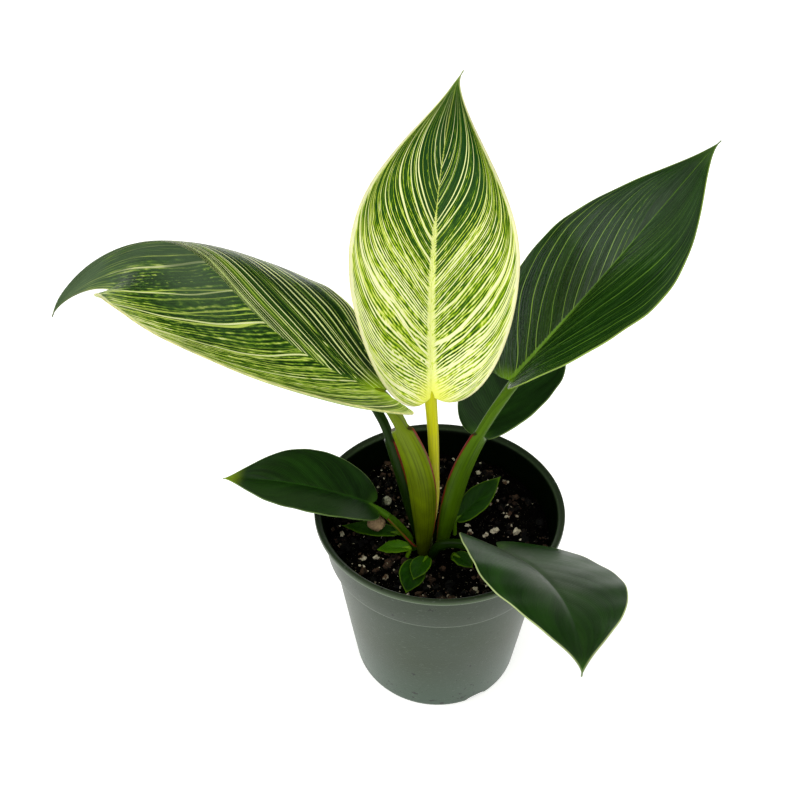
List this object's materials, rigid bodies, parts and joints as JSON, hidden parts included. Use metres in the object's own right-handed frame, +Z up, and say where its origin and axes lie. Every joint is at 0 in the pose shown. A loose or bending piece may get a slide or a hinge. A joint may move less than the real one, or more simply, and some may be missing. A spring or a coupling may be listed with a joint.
{
  "type": "potted philodendron birkin plant",
  "caption": "Young foliage plant with striped pointed leaves on winged stalks, growing in a round tapered nursery pot filled with dark soil.",
  "frame": {"origin": "centre of the pot's foot, on the surface it stands on", "axes": "+Z up along the pot's axis; +X to the right and -Y towards the front, the side from which the newest leaf shows its face"},
  "size_m": [0.2631, 0.1913, 0.2579],
  "materials": {
    "pot_plastic": "satin moulded plastic, grey green",
    "potting_soil": "near-black peat with pale perlite grains",
    "old_stem": "satin, green brown",
    "stalk_yellow": "waxy, yellow",
    "stalk_lime": "waxy, yellow green with a red-brown margin",
    "stalk_olive": "waxy, olive green with a reddish margin",
    "stalk_green": "waxy, fresh green",
    "stalk_dark": "waxy, dark green",
    "blade_cream_striped": "waxy leaf skin, cream with green streaks",
    "blade_pinstriped": "waxy leaf skin, dark green with cream lines",
    "blade_dark_pinstriped": "waxy leaf skin, dark green with thin pale lines",
    "blade_dark_green": "waxy leaf skin, dark green",
    "blade_grey_green": "waxy leaf skin, dark green with a pale margin",
    "basal_leaf": "waxy leaf skin, fresh green",
    "bark": "rough, pink tan",
    "perlite": "rough, off white"
  },
  "bodies": {
    "root": {"pot": "pot_plastic", "soil": "potting_soil", "stem": "old_stem", "leaf_stalk_newest": "stalk_yellow", "leaf_stalk_arching": "stalk_lime", "leaf_stalk_right": "stalk_olive", "leaf_stalk_rear": "stalk_dark", "leaf_stalk_left_low": "stalk_green", "leaf_stalk_front_low": "stalk_dark", "leaf_stalk_hidden": "stalk_dark", "leaf_blade_newest": "blade_cream_striped", "leaf_blade_arching": "blade_pinstriped", "leaf_blade_right": "blade_dark_pinstriped", "leaf_blade_rear": "blade_dark_green", "leaf_blade_left_low": "blade_dark_green", "leaf_blade_front_low": "blade_grey_green", "leaf_blade_hidden": "blade_dark_green", "basal_leaf_left_long": "basal_leaf", "basal_leaf_left": "basal_leaf", "basal_leaf_front": "basal_leaf", "basal_leaf_front_upper": "basal_leaf", "basal_leaf_front_right": "basal_leaf", "basal_leaf_right": "basal_leaf", "bark_chip": "bark", "perlite_lump": "perlite"}
  },
  "joints": []
}
